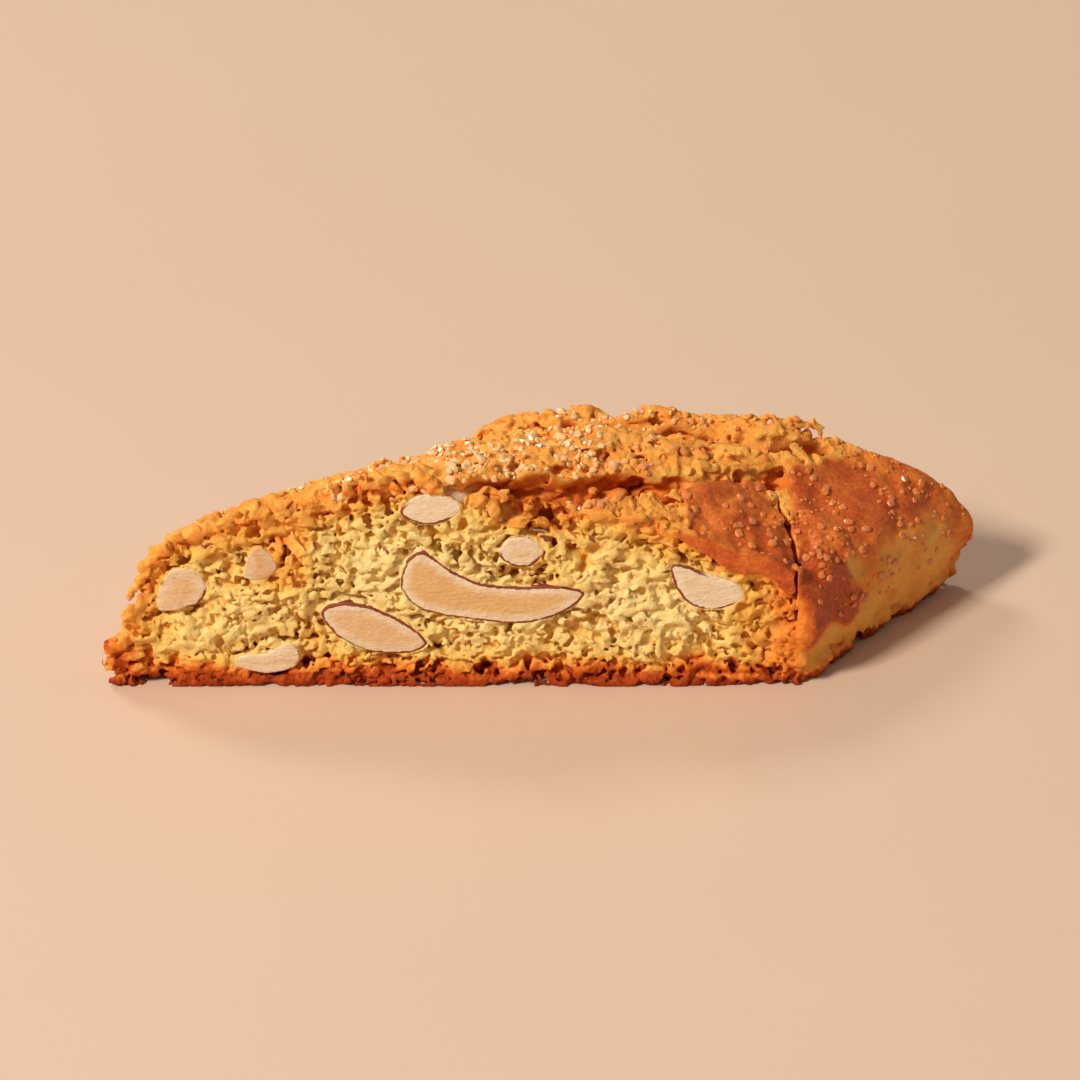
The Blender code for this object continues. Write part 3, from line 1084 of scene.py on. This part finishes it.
# %% Pale and amber grains
def sugar_finish():
    material, tree, shader = new_material("sugar_grain")
    clear = mixed(tree, noise_in_mm(tree, 2.5), srgb(255, 218, 166), srgb(246, 178, 102))
    toffee = mixed(tree, noise_in_mm(tree, 2.5), srgb(236, 152, 80), srgb(208, 104, 40))
    plug(tree, mixed(tree, noted(tree, "amber"), clear, toffee), shader.inputs["Base Color"])
    rough = calculated(tree, "MULTIPLY_ADD", noise_in_mm(tree, 0.4), 0.3, 0.06)
    plug(tree, rough, shader.inputs["Roughness"])
    shader.inputs["Subsurface Weight"].default_value = 0.5
    shader.inputs["Subsurface Radius"].default_value = (1.0, 0.8, 0.5)
    shader.inputs["Subsurface Scale"].default_value = 0.4 * MM
    shader.inputs["Specular IOR Level"].default_value = 0.8
    return material


sugar.data.materials.append(sugar_finish())


# %% [markdown]
# ## Shards of skin
#
# Where an almond broke, scraps of its skin stayed in the crumb. They are small and thin, so each is the hull
# of a few points on a flat ellipsoid.

# %% Make the shards
SHARDS = [
    (25.9, 19.9, 1.0), (33.8, 19.6, 0.8), (59.3, 20.6, 1.1), (12.6, 19.6, 0.9), (34.6, 18.9, 0.6),
]  # across and up on the front cut, then size, in mm


def make_shards():
    random = np.random.default_rng(41)
    shape = bmesh.new()
    for across, up, size in SHARDS:
        middle = Vector((LEFT_END + across, 0.1 - FACE, up))
        turned = Matrix.Rotation(random.uniform(0.4, 1.4), 3, "Y")
        corners = []
        for _ in range(14):
            spot = Vector(random.normal(size=3).tolist()).normalized()
            spot = turned @ Vector((spot.x * size * 0.8, spot.y * size * 0.35, spot.z * size * 0.28))
            corners.append(middle + spot)
        add_hull(shape, corners)
    made = object_from(shape, "skin_shards")
    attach(made, BODY)
    return made


def skin_finish():
    material, tree, shader = new_material("almond_skin")
    papery = mixed(tree, noise_in_mm(tree, 0.4), srgb(120, 40, 20), srgb(190, 110, 76))
    plug(tree, papery, shader.inputs["Base Color"])
    rough = calculated(tree, "MULTIPLY_ADD", noise_in_mm(tree, 0.3), 0.3, 0.4)
    plug(tree, rough, shader.inputs["Roughness"])
    return material


make_shards().data.materials.append(skin_finish())


# %% [markdown]
# ## Floor, light and camera
#
# Pale paper lies under the biscuit. A soft key lamp stands high at the left, in front, so that every pore in
# the cut casts a small shadow, and a weaker one behind draws a light edge along the crust. Point lamps would
# give hard shadows, so both lamps are squares. A long lens keeps the slice's proportions true.

# %% Floor
def make_floor():
    mesh = bpy.data.meshes.new("floor")
    half = 2.0  # m
    corners = [(-half, -half, 0), (half, -half, 0), (half, half, 0), (-half, half, 0)]
    mesh.from_pydata(corners, [], [(0, 1, 2, 3)])
    floor = object_with("floor", mesh)
    material, tree, shader = new_material("floor_paper")
    pale = mixed(tree, noise_in_mm(tree, 60.0), srgb(220, 185, 155), srgb(224, 189, 159))
    plug(tree, pale, shader.inputs["Base Color"])
    shader.inputs["Roughness"].default_value = 0.8
    mesh.materials.append(material)


make_floor()


# %% Light
def area_light(name, place, size, watts, colour=(1, 1, 1)):
    """A soft square lamp that shines at the biscuit's middle."""
    lamp = bpy.data.lights.new(name, "AREA")
    lamp.size = size
    lamp.energy = watts
    lamp.color = colour
    made = object_with(name, lamp)
    made.location = place
    made.rotation_euler = (Vector((0, 0, 0.012)) - Vector(place)).to_track_quat("-Z", "Y").to_euler()


area_light("key", (-0.95, -0.76, 1.12), 0.30, 26.0, (1.0, 0.98, 0.95))
area_light("rim", (-0.68, 0.82, 1.05), 0.4, 6.0)
world = bpy.data.worlds.new("studio")
world.use_nodes = True
world.node_tree.nodes["Background"].inputs["Color"].default_value = (1.0, 0.97, 0.94, 1)
world.node_tree.nodes["Background"].inputs["Strength"].default_value = 0.24
bpy.context.scene.world = world
bpy.context.scene.view_settings.view_transform = "Standard"


# %% Camera
def make_camera():
    elevation = math.radians(30.6)
    lens = 239
    distance = 0.878
    aim = Vector((0.0, 0.0, 0.0135))
    back = Vector((0, -math.cos(elevation), math.sin(elevation)))
    data = bpy.data.cameras.new("camera")
    data.lens = lens
    data.sensor_width = 36
    data.clip_start = 0.01
    data.clip_end = 20
    camera = object_with("camera", data)
    camera.location = aim + back * distance
    camera.rotation_euler = (-back).to_track_quat("-Z", "Y").to_euler()
    bpy.context.scene.camera = camera


make_camera()
